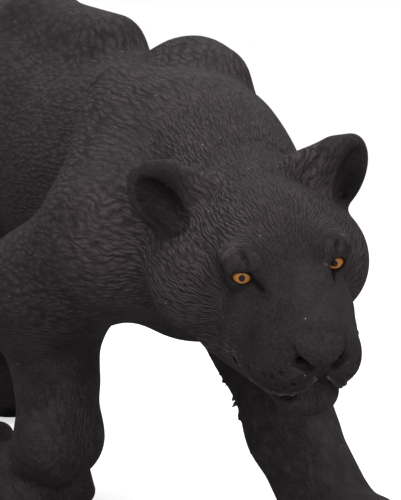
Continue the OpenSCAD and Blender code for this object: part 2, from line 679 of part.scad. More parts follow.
// --- Cord inlet in the belly ---
flange = 2;
module inlet_bushing() {
    top = floor_z - inlet_seat + 6;
    color([0.1, 0.1, 0.1]) translate(inlet_at) rotate_extrude($fn = 64)
        polygon([[inlet_bore / 2 + 1, -flange], [flange_d / 2 - 1, -flange], [flange_d / 2, -flange + 1],
            [flange_d / 2, 0], [bushing_d / 2, 0], [bushing_d / 2, top], [inlet_bore / 2, top],
            [inlet_bore / 2, -flange + 1]]);
}

module inlet_nut() {
    color([0.1, 0.1, 0.1]) translate([inlet_at.x, inlet_at.y, floor_z]) difference() {
        cylinder(d = flange_d + 4, h = 4, $fn = 6);
        translate([0, 0, -1]) cylinder(d = bushing_d + 2 * slide, h = 6, $fn = 48);
    }
}

module placed() { translate(-middle) children(); }
placed() trunk_casting();
placed() head_casting();
placed() right_foreleg();
placed() left_foreleg();
placed() right_hindleg();
placed() left_hindleg();
placed() tail_casting();
placed() leg_dowels();
placed() neck_dowels();
placed() tail_dowel();
placed() right_eye_glass();
placed() left_eye_glass();
placed() iris_discs();
placed() paw_felts();
placed() threaded_inserts();
placed() bracket();
placed() bracket_screws();
placed() threaded_pipe();
placed() pipe_washer();
placed() pipe_nut();
placed() holder_cap();
placed() holder_body();
placed() screw_shell();
placed() centre_contact();
placed() terminal_screws();
placed() key_shaft();
placed() key_knob();
placed() bulb_glass();
placed() bulb_cap();
placed() bulb_insulator();
placed() bulb_contact();
placed() bulb_stem();
placed() bulb_filament();
placed() inlet_bushing();
placed() inlet_nut();
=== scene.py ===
"""A television lamp as a stalking black panther: its cast skin and fur, its glass eyes, and the finish of
the lamp inside it. Figure coordinates are in millimetres, as in the CAD source: x = 0 at the shoulder,
+X toward the nose, +Y toward the wall, +Z up from the table."""
import json
import math
import bmesh
import bpy
import numpy as np
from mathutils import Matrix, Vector


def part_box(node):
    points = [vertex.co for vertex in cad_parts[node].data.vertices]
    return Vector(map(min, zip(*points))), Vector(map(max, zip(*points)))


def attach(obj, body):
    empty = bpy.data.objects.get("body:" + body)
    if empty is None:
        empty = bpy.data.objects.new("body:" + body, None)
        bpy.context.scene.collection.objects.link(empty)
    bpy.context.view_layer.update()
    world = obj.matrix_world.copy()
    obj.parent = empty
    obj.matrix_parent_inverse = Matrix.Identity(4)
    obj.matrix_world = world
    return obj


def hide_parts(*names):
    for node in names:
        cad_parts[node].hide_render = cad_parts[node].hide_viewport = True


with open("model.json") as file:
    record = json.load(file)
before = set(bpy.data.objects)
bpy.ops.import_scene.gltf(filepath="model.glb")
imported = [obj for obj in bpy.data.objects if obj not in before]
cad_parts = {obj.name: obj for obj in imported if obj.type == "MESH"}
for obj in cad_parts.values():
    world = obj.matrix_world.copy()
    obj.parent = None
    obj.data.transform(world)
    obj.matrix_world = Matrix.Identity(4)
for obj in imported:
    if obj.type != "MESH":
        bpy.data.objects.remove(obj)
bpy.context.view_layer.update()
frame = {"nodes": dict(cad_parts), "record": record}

# ---------------------------------------------------------------- figure coordinates
MM = 0.001
BRACKET_REAR = -166.0
SHIFT = np.array([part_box("bracket")[0].x / MM - BRACKET_REAR, 0, 0])  # from the figure's x to the frame's
HIP = -200.0
RIB = 40.0
RUMP = 200.0
WITHERS = 168.0
RIGHT, LEFT, LEFT_FORE = -38.0, 38.0, 27.0
LEG_JOINT = 60.0
NECK_JOINT = 47.0
SOLE = 2.0
LAMP_AXIS = 139.0
OPENING_AT = (-102.0, LAMP_AXIS)
OPENING_LENGTH, OPENING_HEIGHT = 124.0, 44.0
CHAMBER_X = (-178.0, -14.0)
CHAMBER_Y = (-24.0, 26.0)
CHAMBER_HEIGHT, CHAMBER_CORNER = 50.0, 10.0
LEVEL = np.eye(3)
SIDES = (-1, 1)
# How far the skin is set in: all over, on the face, and more where a casting laps under the trunk
INSET, FACE_INSET, LAP_INSET = 0.55, 0.08, 0.35
FACE_FROM = NECK_JOINT + 14
LAP = 0.8


def place(points):
    """Figure millimetres to the frame's metres."""
    return (np.asarray(points) + SHIFT) * MM


def ramp(x, low, high):
    """0 up to low and 1 from high on, with a smooth way between them."""
    t = np.clip((x - low) / (high - low), 0, 1)
    return t * t * (3 - 2 * t)


# ---------------------------------------------------------------- masses that melt into each other
FAR = 50.0


class Mass:
    """A form: its distance function, the box it fills, and how softly it melts into the rest."""

    def __init__(self, gap, low, high, soft):
        self.gap, self.low, self.high, self.soft = gap, low, high, soft


def bone(a, b, ra, rb, soft):
    """A cone with round ends. A softness under zero scoops it out of the masses before it."""
    a, b = np.array(a, float), np.array(b, float)
    ab = b - a

    def gap(p):
        t = np.clip((p - a) @ ab / (ab @ ab), 0, 1)
        return np.linalg.norm(p - a - t[:, None] * ab, axis=1) - ra - (rb - ra) * t

    r = max(ra, rb)
    return Mass(gap, np.minimum(a, b) - r, np.maximum(a, b) + r, soft)


def blob(c, r, soft, axes=LEVEL):
    """An ellipsoid on its own axes."""
    c, r = np.array(c, float), np.array(r, float)

    def gap(p):
        u = (p - c) @ axes / r
        n = np.linalg.norm(u, axis=1)
        return n * (n - 1) / np.maximum(np.linalg.norm(u / r, axis=1), 0.001)

    return Mass(gap, c - r.max(), c + r.max(), soft)


def melt(a, b, soft):
    """The nearer of two distances, rounded where they are close."""
    h = np.maximum(soft - np.abs(a - b), 0) / soft
    return np.minimum(a, b) - h * h * soft / 4


def joined(d, gap, soft):
    """Adds a form to a skin, or with a softness under zero takes it away."""
    return -melt(-d, gap, -soft) if soft < 0 else melt(d, gap, soft)


def skin_gap(masses, p):
    d = np.full(len(p), FAR)
    for m in masses:
        d = joined(d, m.gap(p), m.soft)
    return d


def spun(yaw=0, nod=0, lean=0):
    """Axes turned by yaw about Z, by nod about Y, nose down, and by lean about X, in degrees."""
    y, n, l = np.radians([yaw, nod, lean])
    rz = np.array([[math.cos(y), -math.sin(y), 0], [math.sin(y), math.cos(y), 0], [0, 0, 1]])
    ry = np.array([[math.cos(n), 0, math.sin(n)], [0, 1, 0], [-math.sin(n), 0, math.cos(n)]])
    rx = np.array([[1, 0, 0], [0, math.cos(l), -math.sin(l)], [0, math.sin(l), math.cos(l)]])
    return rz @ ry @ rx


# ---------------------------------------------------------------- the body's masses
TRUNK = [
    blob((-60, 0, 128), (84, RIB + 1, 46), 14),
    blob((HIP + 70, 0, 146), (64, RIB - 2, 44), 20),
    blob((HIP + 4, 0, RUMP - 48), (48, RIB, 42), 20),
    blob((6, 0, 115), (42, RIB - 3, 44), 16),
    bone((HIP, 0, RUMP - 14), (HIP + 72, 2, RUMP - 12), 14, 13, 14),
    bone((HIP + 72, 2, RUMP - 12), (-65, 3, WITHERS + 10), 13, 13, 14),
]
NECK = [bone((2, -2, 132), (44, -9, 112), 35, 30, 16)]
RIGHT_SHOULDER = [
    bone((-11, RIGHT + 16, WITHERS - 8), (14, RIGHT + 3, 116), 11, 25, 12),
    bone((14, RIGHT + 3, 112), (-34, RIGHT - 3, 88), 25, 24, 12),
]
RIGHT_FORE = [
    bone((-34, RIGHT - 3, 86), (-32, RIGHT, 56), 24, 15.2, 9),
    bone((-32, RIGHT, 56), (-30, RIGHT, 34), 15.2, 15.8, 6),
    bone((-30, RIGHT, 34), (-54, RIGHT, 15), 15.8, 14, 6),
]
LEFT_SHOULDER = [
    bone((-36, LEFT_FORE - 10, WITHERS - 2), (-12, LEFT_FORE - 8, WITHERS - 3), 13, 12, 10),
    bone((-28, LEFT_FORE - 8, WITHERS - 4), (-3, LEFT_FORE - 1, 112), 15.5, 24, 12),
    bone((-2, LEFT_FORE, 108), (6, LEFT_FORE + 1, 72), 24, 20, 12),
]
LEFT_REACH = [
    bone((6, LEFT_FORE + 1, 72), (27, LEFT_FORE, 40), 19, 16, 9),
    bone((27, LEFT_FORE, 40), (50, LEFT_FORE - 1, 20), 16, 16, 6),
]
RIGHT_THIGH = [bone((HIP - 4, RIGHT + 14, 156), (HIP + 32, RIGHT, 104), 32, 28, 14)]
RIGHT_HIND = [
    bone((HIP + 32, RIGHT, 104), (HIP + 40, RIGHT, 56), 24, 16, 9),
    bone((HIP + 40, RIGHT, 56), (HIP + 54, RIGHT, 20), 14, 14, 8),
]
LEFT_THIGH = [bone((HIP - 6, LEFT - 14, 156), (HIP - 8, LEFT, 104), 32, 28, 14)]
LEFT_HIND = [
    bone((HIP - 8, LEFT, 104), (HIP - 52, LEFT - 8, 62), 22, 14, 9),
    bone((HIP - 52, LEFT - 8, 62), (HIP - 45, LEFT - 8, 20), 13, 14, 8),
]
FORE_PAW, HIND_PAW = (28, 20, 16), (25, 18, 14)
TOES = (-1.5, -0.5, 0.5, 1.5)


def paw(at, size):
    """The pad of a paw and its four toes."""
    at = np.array(at, float)
    toes = []
    for i in TOES:
        knuckle = at + (size[0] - 11 - i * i, i * 9.5, 6 - abs(i))
        toes.append(bone(knuckle, at + (size[0] - 2 - 2 * i * i, i * 9.5, -1), 7.2, 6, 3))
    return [blob(at, size, 6)] + toes


TUFT_ROWS = 11
TUFT_TURNS = (-150, -128, -106)
TUFT_ROOT, TUFT_TIP, TUFT_SUNK = 2.0, 0.5, 1.2


def fringe():
    """Tufts of longer fur down the back of the reaching foreleg, in rows that follow its lean."""
    rng = np.random.default_rng(5)
    tufts = []
    for i in range(TUFT_ROWS):
        t = i / (TUFT_ROWS - 1)
        z = 90 - 56 * t
        lean = max(0, 72 - z) * 0.62
        middle = np.array([2 + 4 * t + lean, LEFT_FORE + 1 - t, z])
        leg_r = 21.5 - 7.0 * t
        for turn in TUFT_TURNS:
            aim = math.radians(turn + rng.uniform(-9, 9))
            out = np.array([math.cos(aim), math.sin(aim), 0])
            root = middle + out * (leg_r - TUFT_SUNK) + (0, 0, rng.uniform(-1.5, 1.5))
            tip = root + out * rng.uniform(2.4, 3.8) - (0.8, 0, rng.uniform(3.0, 4.5))
            tufts.append(bone(root, tip, TUFT_ROOT, TUFT_TIP, 0.8))
    return tufts


TAIL_ROOT, TAIL_REACH = HIP - 36, 152.0
TAIL_BONES, TAIL_ROOT_BONES = 20, 4
TAIL_JOINT_T = 0.115


def tail_at(t):
    """A point on the tail's middle line: t is 0 at the root and 1 at the tip."""
    dip = 52 * (1 - math.cos(math.pi * min(1, 1.15 * t)))
    lift = 130 * max(0, t - 0.7) ** 2
    aside = -14 * math.sin(math.radians(150 * t))
    return np.array([TAIL_ROOT - TAIL_REACH * (0.62 * t + 0.38 * t * t), aside, RUMP - 38 - dip + lift])


def tail_r(t):
    return 13.5 - 5.5 * min(1, 4 * t) - 1.2 * t


def tail_bone(i):
    a, b = i / TAIL_BONES, (i + 1) / TAIL_BONES
    return bone(tail_at(a), tail_at(b), tail_r(a), tail_r(b), 2)


TAIL_JOINT = tail_at(TAIL_JOINT_T)
RUMP_POINT = [bone((HIP - 20, 0, RUMP - 34), TAIL_JOINT - (4, 0, 1), 18, tail_r(TAIL_JOINT_T) + 1.5, 14)]
TAIL = [tail_bone(i) for i in range(TAIL_BONES)]

# ---------------------------------------------------------------- the head's masses, in half widths
UNIT = 33.0
HEAD_AT = np.array([66.0, -10.0, 108.0])
HEAD_AXES = spun(-14, 13, 6)
EAR_YAW, EAR_LEAN = 25, 42


def in_head(p):
    return HEAD_AT + HEAD_AXES @ (np.array(p, float) * UNIT)


def on_face(points):
    """Figure points in the head's own axes and half widths."""
    return (points - HEAD_AT) @ HEAD_AXES / UNIT


def head_bone(a, b, ra, rb, soft):
    return bone(in_head(a), in_head(b), ra * UNIT, rb * UNIT, soft * UNIT)


def head_blob(c, r, soft, yaw=0, nod=0, lean=0):
    return blob(in_head(c), np.array(r) * UNIT, soft * UNIT, HEAD_AXES @ spun(yaw, nod, lean))


def skull():
    """The head's main forms: cranium, brow, muzzle, chin, nose, cheeks, jaw and cupped ears."""
    masses = [
        head_blob((0.02, 0, 0.20), (0.86, 0.74, 0.60), 0.20),
        head_blob((-0.55, 0, 0.05), (0.60, 0.70, 0.66), 0.30),
        head_blob((0.52, 0, 0.36), (0.42, 0.42, 0.26), 0.20, 0, 25),
        head_bone((0.65, 0, 0.20), (1.46, 0, -0.20), 0.30, 0.22, 0.18),
        head_blob((1.30, 0, -0.90), (0.27, 0.28, 0.20), 0.07, 0, -8),
        head_blob((1.62, 0, -0.32), (0.16, 0.25, 0.15), 0.08, 0, 20),
    ]
    for s in SIDES:
        masses += [
            head_blob((-0.05, 0.58 * s - 0.04, -0.11), (0.62, 0.54, 0.58), 0.25),
            head_blob((0.74, 0.40 * s, -0.36), (0.34, 0.24, 0.30), 0.16),
            head_blob((0.72, 0.38 * s, 0.34), (0.24, 0.24, 0.12), 0.14, 10 * s, 20),
            head_bone((0.80, 0.20 * s, -0.10), (1.35, 0.18 * s, -0.40), 0.32, 0.28, 0.20),
            head_blob((1.36, 0.24 * s, -0.51), (0.36, 0.25, 0.26), 0.08, -14 * s),
            head_bone((1.20, 0.34 * s, -0.60), (0.80, 0.50 * s, -0.57), 0.17, 0.16, 0.14),
            head_bone((1.15, 0.12 * s, -0.84), (0.20, 0.44 * s, -0.60), 0.20, 0.30, 0.14),
            head_blob((-0.17, 0.89 * s - 0.03, 0.675 + 0.015 * s), (0.15, 0.33, 0.44), 0.12,
                      EAR_YAW * s, 0, -EAR_LEAN * s),
            head_bone((-0.20, 0.80 * s - 0.02, 0.92 + 0.02 * s), (-0.25, 0.46 * s - 0.04, 0.75 + 0.05 * s),
                      0.12, 0.14, 0.14),
            head_blob((-0.04, 0.99 * s - 0.01, 0.67 + 0.04 * s), (0.17, 0.19, 0.34), -0.05,
                      EAR_YAW * s, 0, -EAR_LEAN * s),
        ]
    return masses


# The glass eyes as in the CAD: a rim and a domed front, whose radius follows from how far it bows out.
EYE_AT, EYE_TURN, EYE_TILT = (0.755, 0.45, 0.155), 12.0, 6.0
EYE_D, EYE_DEPTH, EYE_RIM = 9.0, 5.5, 2.0
EYE_BOW = EYE_DEPTH - EYE_RIM
EYE_R = ((EYE_D / 2) ** 2 + EYE_BOW ** 2) / 2 / EYE_BOW
LID_LENGTH, LID_HEIGHT, LID_T = 6.0, 3.5, 0.6
# By side, across the eye and up it: where the lids open, and where the pupil looks out.
LID_SHIFT = {-1: (0.1, 0.5), 1: (-1.9, 1.3)}
PUPIL_SHIFT = {-1: (0.1, 0.5), 1: (-2.1, 1.2)}


def eye_at(s):
    """The middle of an eye's seat, in head units."""
    return EYE_AT[0], EYE_AT[1] * s, EYE_AT[2]


def eye_axes(s):
    """Out along the eye's axis, across it toward the outer corner, and up."""
    return HEAD_AXES @ spun(EYE_TURN * s)


def in_eye(points, s):
    return (points - in_head(eye_at(s))) @ eye_axes(s) * [1, s, 1]


def almond_gap(points, s):
    """Inside the opening between the lids: two arcs that meet at the corners."""
    out, across, up = (in_eye(points, s) - [0, LID_SHIFT[s][0], LID_SHIFT[s][1]]).T
    tilt = math.radians(EYE_TILT)
    along = across * math.cos(tilt) + up * math.sin(tilt)
    height = up * math.cos(tilt) - across * math.sin(tilt)
    half, rise = LID_LENGTH / 2, LID_HEIGHT / 2
    r = (half ** 2 + rise ** 2) / 2 / rise
    lens = np.maximum(np.hypot(along, height - r + rise), np.hypot(along, height + r - rise)) - r
    return np.maximum(lens, -out)


# Lines and whisker pits on the left side of the face, carved, or darkened with paint and painted shade, and
# mirrored on the right
TEAR = [(0.95, 0.43, 0.21), (1.02, 0.39, 0.155), (1.08, 0.355, 0.105)]
BROW_CREASE = [(0.85, 0.475, 0.42), (0.89, 0.45, 0.36), (0.93, 0.43, 0.31)]
OUTER_CREASE = [(0.60, 0.60, 0.15), (0.66, 0.585, 0.115), (0.74, 0.56, 0.125)]
NOSE_WING = [(1.56, 0.30, -0.16), (1.66, 0.275, -0.28), (1.69, 0.25, -0.335)]
NOSTRIL = [(1.67, 0.27, -0.30), (1.71, 0.23, -0.375), (1.735, 0.13, -0.45)]
NOSTRIL_DEPTH = [(1.74, 0.19, -0.40), (1.55, 0.17, -0.38)]
NOSTRIL_SHADE = [(1.70, 0.22, -0.37), (1.72, 0.12, -0.45)]
LIP = [(0.98, 0.60, -0.50), (1.05, 0.56, -0.61), (1.16, 0.49, -0.73), (1.30, 0.39, -0.79),
       (1.42, 0.31, -0.79), (1.53, 0.23, -0.755), (1.63, 0.15, -0.68), (1.69, 0.06, -0.57)]
PITS = [(1.29, 0.52, -0.52), (1.43, 0.46, -0.58), (1.54, 0.42, -0.57), (1.54, 0.38, -0.65),
        (1.27, 0.46, -0.69), (1.58, 0.32, -0.66), (1.66, 0.26, -0.60), (1.60, 0.24, -0.71),
        (1.66, 0.20, -0.66), (1.40, 0.42, -0.70), (1.18, 0.52, -0.60), (1.62, 0.37, -0.50)]
EAR_FOLD = [(-0.13, 1.05, 0.84), (-0.17, 1.01, 0.70), (-0.15, 0.91, 0.60), (-0.11, 0.88, 0.49)]


def chain(points, radii, soft, s):
    """Bones end to end on one side of the head, thick as the radii say."""
    run = [(x, y * s, z) for x, y, z in points]
    return [head_bone(a, b, ra, rb, soft) for a, b, ra, rb in zip(run, run[1:], radii, radii[1:])]


def face():
    """What the chisel adds to the skull: lids, brows, nose, lips, ear folds and whisker pits."""
    masses = []
    for s in SIDES:
        ball = np.array(eye_at(s)) + spun(EYE_TURN * s)[:, 0] * (EYE_DEPTH - EYE_R) / UNIT
        lid = (EYE_R + LID_T) / UNIT
        masses += [
            head_blob(ball, (lid, lid, lid * 0.86), 0.05, EYE_TURN * s),
            head_blob((0.70, 0.50 * s, 0.31), (0.17, 0.13, 0.13), 0.06, 20 * s, 10, -20 * s),
            head_blob((1.02, 0.25 * s, 0.10), (0.16, 0.07, 0.10), 0.08, 0, 30),
        ]
        masses += chain(BROW_CREASE, (0.012, 0.022, 0.010), -0.02, s)
        masses += chain(OUTER_CREASE, (0.012, 0.022, 0.008), -0.025, s)
        masses += chain(TEAR, (0.026, 0.042, 0.016), -0.02, s)
        masses += chain(NOSE_WING, (0.015, 0.025, 0.035), -0.05, s)
        masses += chain(NOSTRIL, (0.028, 0.055, 0.036), -0.02, s)
        masses += chain(NOSTRIL_DEPTH, (0.05, 0.03), -0.02, s)
        masses += chain(LIP, [0.024] * len(LIP), 0.03, s)
        gap = np.interp(range(len(LIP)), (0, 2, 7), (0.050, 0.034, 0.018))
        under_lip = [(x - 0.02, y * 0.92, z - 0.035 - g) for (x, y, z), g in zip(LIP, gap)]
        masses += chain(under_lip, gap, -0.02, s)
        masses += [head_blob((-0.09, 0.97 * s - 0.01, 0.66 + 0.04 * s), (0.15, 0.13, 0.28), -0.05,
                             EAR_YAW * s, 0, -EAR_LEAN * s)]
        masses += chain(EAR_FOLD, (0.02, 0.045, 0.045, 0.02), -0.03, s)
        masses += [head_blob((x, y * s, z), (0.026, 0.026, 0.026), -0.012) for x, y, z in PITS]
    masses += [
        head_bone((1.80, 0, -0.46), (1.73, 0, -0.58), 0.014, 0.020, -0.03),
        head_blob((1.68, 0, -0.635), (0.10, 0.06, 0.03), -0.02),
    ]
    return masses


def open_lids(p, d):
    """The head: hardly set in at the face, as far as the trunk at the neck, and open between the lids."""
    d = d + FACE_INSET + (INSET - FACE_INSET) * (1 - ramp(p[:, 0], NECK_JOINT, FACE_FROM))
    d = d + LAP_INSET * ramp(NECK_JOINT - p[:, 0], 0, LAP)
    for s in SIDES:
        d = joined(d, almond_gap(p, s), -0.5)
    return d


# ---------------------------------------------------------------- a closed net over the skin
BLOCK = 12
HEADROOM = 4
SKIM = 0.2


def stops(low, high, step):
    """Grid places from low to high. The outermost layers are only a skim thick, for a true cut there."""
    n = math.ceil((high - low) / step)
    return np.concatenate([[low], np.linspace(low + SKIM, high - SKIM, n + 1), [high]])


def grid_gaps(masses, axes, carve):
    """The distance to the skin at each grid place, worked out only in the blocks near it."""
    size = [len(a) for a in axes]
    gaps = np.full(size, FAR, np.float32)
    for i in range(0, size[0], BLOCK):
        for j in range(0, size[1], BLOCK):
            for k in range(0, size[2], BLOCK):
                xs, ys, zs = axes[0][i:i + BLOCK], axes[1][j:j + BLOCK], axes[2][k:k + BLOCK]
                low = np.array([xs[0], ys[0], zs[0]])
                high = np.array([xs[-1], ys[-1], zs[-1]])
                middle, reach = (low + high) / 2, np.linalg.norm(high - low) / 2
                near = [m for m in masses if np.all(middle > m.low - reach - abs(m.soft) - HEADROOM)
                        and np.all(middle < m.high + reach + abs(m.soft) + HEADROOM)]
                rough = carve(middle[None], skin_gap(near, middle[None]))
                if abs(rough[0]) > reach * 1.5 + HEADROOM:
                    gaps[i:i + BLOCK, j:j + BLOCK, k:k + BLOCK] = rough[0]
                    continue
                p = np.stack(np.meshgrid(xs, ys, zs, indexing="ij"), -1).reshape(-1, 3)
                d = carve(p, skin_gap(near, p))
                gaps[i:i + BLOCK, j:j + BLOCK, k:k + BLOCK] = d.reshape(len(xs), len(ys), len(zs))
    return gaps


def surface_net(gaps, axes):
    """Vertices and quads on the grid's zero surface, closed and flat at the sides of the box."""
    for axis in range(3):
        side = [slice(None)] * 3
        for end in (0, -1):
            side[axis] = end
            gaps[tuple(side)] = np.maximum(gaps[tuple(side)], 0.5)
    inside = gaps < 0
    size = np.array(gaps.shape)
    within = sum(inside[a:size[0] - 1 + a, b:size[1] - 1 + b, c:size[2] - 1 + c].astype(np.int8)
                 for a in (0, 1) for b in (0, 1) for c in (0, 1))
    cells = np.argwhere((within > 0) & (within < 8))
    number = np.full(size - 1, -1, np.int32)
    number[tuple(cells.T)] = np.arange(len(cells))
    flat = (cells == 0) | (cells == size - 2)
    total, count = np.zeros((2, len(cells), 3)), np.zeros((2, len(cells)))
    for axis in range(3):
        step = LEVEL[axis].astype(int)
        others = [a for a in range(3) if a != axis]
        for u in (0, 1):
            for v in (0, 1):
                corner = np.zeros(3, int)
                corner[others] = u, v
                a = gaps[tuple((cells + corner).T)]
                b = gaps[tuple((cells + corner + step).T)]
                hit = (a < 0) != (b < 0)
                t = np.where(hit, a / np.where(hit, a - b, 1), 0)
                at = corner + step * t[:, None]
                for rank, use in enumerate((hit & ~flat[:, axis], hit)):
                    total[rank][use] += at[use]
                    count[rank][use] += 1
    rank = (count[0] == 0).astype(int)
    pick = np.arange(len(cells))
    local = total[rank, pick] / count[rank, pick][:, None]
    points = np.empty((len(cells), 3))
    for axis in range(3):
        a = axes[axis]
        c = cells[:, axis]
        points[:, axis] = a[c] + (a[c + 1] - a[c]) * local[:, axis]
        points[c == 0, axis] = a[0]
        points[c == size[axis] - 2, axis] = a[-1]
    quads = []
    for axis in range(3):
        o1, o2 = (axis + 1) % 3, (axis + 2) % 3
        lower, upper = [slice(None)] * 3, [slice(None)] * 3
        lower[axis], upper[axis] = slice(0, -1), slice(1, None)
        edge = np.argwhere(inside[tuple(lower)] != inside[tuple(upper)])
        edge = edge[(edge[:, o1] > 0) & (edge[:, o1] < size[o1] - 1)]
        edge = edge[(edge[:, o2] > 0) & (edge[:, o2] < size[o2] - 1)]
        e1, e2 = LEVEL[o1].astype(int), LEVEL[o2].astype(int)
        ring = np.stack([number[tuple((edge - d).T)] for d in (0 * e1, e1, e1 + e2, e2)], 1)
        turn = ~inside[tuple(edge.T)]
        ring[turn] = ring[turn][:, ::-1]
        quads.append(ring)
    return points, np.concatenate(quads)


def net(masses, low, high, step, carve):
    axes = [stops(low[a], high[a], step) for a in range(3)]
    return surface_net(grid_gaps(masses, axes, carve), axes)


def gradient(masses, p):
    """The way out of the skin at each point."""
    steps = 0.4 * LEVEL
    g = np.stack([skin_gap(masses, p + step) - skin_gap(masses, p - step) for step in steps], 1)
    return g / np.maximum(np.linalg.norm(g, axis=1), 1e-6)[:, None]


# ---------------------------------------------------------------- how the fur lies
NOSE, NAPE = np.array([1.75, 0, -0.30]), np.array([-0.60, 0, 0.15])
EYE_SWIRL = 0.26
FAN_SPREAD, TRUNK_SPREAD, LEG_SPREAD = 30.0, 42.0, 18.0
TRUNK_AXIS_Z = 110.0
STRIDE = 200.0


def head_lie(points):
    """Run along the fur and place across it, in mm: the strokes fan from the nose and part round the eyes."""
    q = on_face(points)
    axis = (NAPE - NOSE) / np.linalg.norm(NAPE - NOSE)
    up = np.cross(axis, (0, 1, 0))
    up *= np.sign(up[2])

    def fan(w):
        return np.arctan2(w[:, 1], w @ up) * FAN_SPREAD

    w = q - NOSE
    run, across = np.linalg.norm(w, axis=1) * UNIT, fan(w)
    for s in SIDES:
        eye = np.array([0.86, 0.49 * s, 0.22])
        away = np.maximum(np.linalg.norm(q - eye, axis=1), EYE_SWIRL * 0.9)
        across -= (across - fan(eye[None] - NOSE)) * (EYE_SWIRL / away) ** 2
    return run, across


def body_lie(points):
    """Back along the trunk, and down the legs."""
    x, y, z = points.T
    down = ramp(-z, -80, -55)
    leg_x = np.round((x - HIP) / STRIDE) * STRIDE + HIP
    leg_y = np.where(y < 0, RIGHT, LEFT_FORE)
    round_trunk = np.arctan2(y, z - TRUNK_AXIS_Z) * TRUNK_SPREAD
    round_leg = np.arctan2(x - leg_x, leg_y - y) * LEG_SPREAD
    return -x * (1 - down) - z * down, round_trunk * (1 - down) + round_leg * down


def fur_depth(points):
    """How deep the strokes are cut, 1 over the crown and cheeks, less on the body and none on the nose,
    and how much each point belongs to the head."""
    q = on_face(points)
    head = ramp(points[:, 0], 8, 40) * ramp(points[:, 2], 50, 80)
    far = np.linalg.norm(q - NOSE, axis=1)
    depth = ramp(far, 0.80, 1.25)
    for s in SIDES:
        eye = np.linalg.norm(q - (0.90, 0.47 * s, 0.12), axis=1)
        depth *= 0.25 + 0.75 * ramp(eye, 0.20, 0.42)
        cup = np.linalg.norm((q - (-0.10, 1.0 * s, 0.66)) * [1, 1, 0.6], axis=1)
        depth *= 0.15 + 0.85 * ramp(cup, 0.18, 0.34)
    depth *= 1 - 0.6 * ramp(np.abs(q[:, 1]), 0.55, 0.75) * ramp(q[:, 2], 0.55, 0.7)
    chin = ramp(-q[:, 2], 0.74, 0.82) * ramp(q[:, 0], 0.9, 1.2)
    parting = np.where(q[:, 2] < 0, ramp(np.abs(q[:, 1]), 0.02, 0.07), 1)
    depth = np.maximum(depth, 0.7 * chin) * parting
    high_up = 0.35 + 0.65 * ramp(points[:, 2], 50, 110)
    body = 0.55 * ramp(np.abs(points[:, 2] - LEG_JOINT), 1, 10) * high_up + 0.05
    body *= 0.5 + 0.5 * ramp(points[:, 0], -120, -10)
    return depth * head + body * (1 - head), head


def line_near(points, run, s, width):
    """1 along a line on one side of the face, falling to 0 at its width in mm."""
    near = np.full(len(points), 99.0)
    for m in chain(run, [0.0] * len(run), 0.1, s):
        near = np.minimum(near, m.gap(points))
    return 1 - ramp(near, width * 0.4, width)


def drawn_near(q, run, s, width):
    """1 on a line drawn on one side of the face as seen from ahead, falling to 0 at its width in mm."""
    near = np.full(len(q), 99.0)
    for a, b in zip(run, run[1:]):
        a, b = np.array([a[1] * s, a[2]]), np.array([b[1] * s, b[2]])
        t = np.clip((q[:, 1:] - a) @ (b - a) / ((b - a) @ (b - a)), 0, 1)
        near = np.minimum(near, np.linalg.norm(q[:, 1:] - a - t[:, None] * (b - a), axis=1) * UNIT)
    return (1 - ramp(near, width * 0.5, width)) * ramp(q[:, 0], 0.7, 0.8)


def painted_light_and_lid_paint(points):
    """Dark paint and painted shade on the lid rims, dark paint down the tear lines, painted shade in the
    nostrils, under the lips, in the ear folds and cups and in the brow creases, and a painted highlight along
    the lip edges: under 1 is darker, over 1 is lighter.
    """
    painted_light_and_paint = np.ones(len(points))
    q = on_face(points)
    below_lip = [(x - 0.03, y * 0.92, z - 0.065) for x, y, z in LIP]
    lip_edge = [(x, y * 1.04, z - 0.01) for x, y, z in LIP]
    for s in SIDES:
        painted_light_and_paint *= 1 - 0.85 * (1 - ramp(np.abs(almond_gap(points, s)), 0.35, 0.9))
        painted_light_and_paint *= 1 - 0.94 * drawn_near(q, TEAR, s, 1.25)
        painted_light_and_paint *= 1 - 0.8 * line_near(points, NOSTRIL_SHADE, s, 2.4)
        painted_light_and_paint *= 1 - 0.8 * line_near(points, below_lip, s, 2.0)
        painted_light_and_paint *= 1 - 0.6 * line_near(points, EAR_FOLD, s, 2.6)
        painted_light_and_paint *= 1 - 0.5 * line_near(points, BROW_CREASE, s, 1.1)
        painted_light_and_paint *= 1 + 0.9 * line_near(points, lip_edge, s, 0.9)
        cup = np.linalg.norm((q - (-0.06, 1.0 * s, 0.66)) * [1, 1, 0.6], axis=1)
        painted_light_and_paint *= 1 - 0.7 * (1 - ramp(cup, 0.10, 0.28))
    return painted_light_and_paint


# ---------------------------------------------------------------- meshes
def to_mesh(name, points, faces):
    """A smooth-shaded piece from figure millimetres."""
    mesh = bpy.data.meshes.new(name)
    mesh.from_pydata(place(points).tolist(), [], faces)
    mesh.update()
    mesh.polygons.foreach_set("use_smooth", [True] * len(mesh.polygons))
    piece = bpy.data.objects.new(name, mesh)
    bpy.context.scene.collection.objects.link(piece)
    return piece


def cap_cuts(piece, cuts):
    """The flat ends at the joints become one face each."""
    bm = bmesh.new()
    bm.from_mesh(piece.data)
    for axis, at in cuts:
        on = {v for v in bm.verts if abs(v.co[axis] - at) < 1e-7}
        flat = [f for f in bm.faces if all(v in on for v in f.verts)]
        bmesh.ops.delete(bm, geom=flat, context="FACES_ONLY")
    bmesh.ops.delete(bm, geom=[e for e in bm.edges if not e.link_faces], context="EDGES")
    bmesh.ops.delete(bm, geom=[v for v in bm.verts if not v.link_edges], context="VERTS")
    bmesh.ops.holes_fill(bm, edges=[e for e in bm.edges if e.is_boundary])
    bm.to_mesh(piece.data)
    bm.free()


